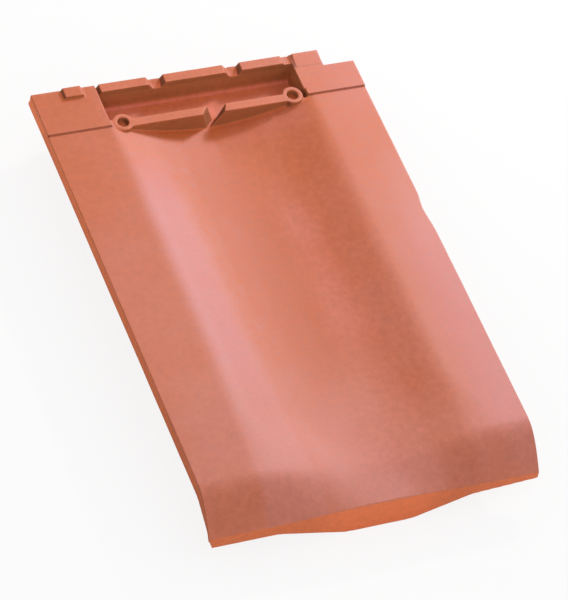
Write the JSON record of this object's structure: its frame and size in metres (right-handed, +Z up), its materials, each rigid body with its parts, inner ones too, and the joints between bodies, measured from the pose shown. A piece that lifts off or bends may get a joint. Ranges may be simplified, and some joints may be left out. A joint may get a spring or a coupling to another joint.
{
  "type": "clay roof tile",
  "caption": "Large pressed clay roof tile with one broad water trough between flat margins, a drained channel and nail bosses at the head, and a turned-down foot.",
  "frame": {"origin": "on the ground under the middle of the tile, at the lowest point of the nibs and of the foot lip", "axes": "+X across the tile to the right when seen from its foot, +Y up the roof slope from the foot to the head, +Z up out of the weathered face"},
  "size_m": [0.2774, 0.42, 0.0557],
  "materials": {
    "clay": "unglazed fired clay, matt, fine grained"
  },
  "bodies": {
    "root": {"tile": "clay"}
  },
  "joints": []
}
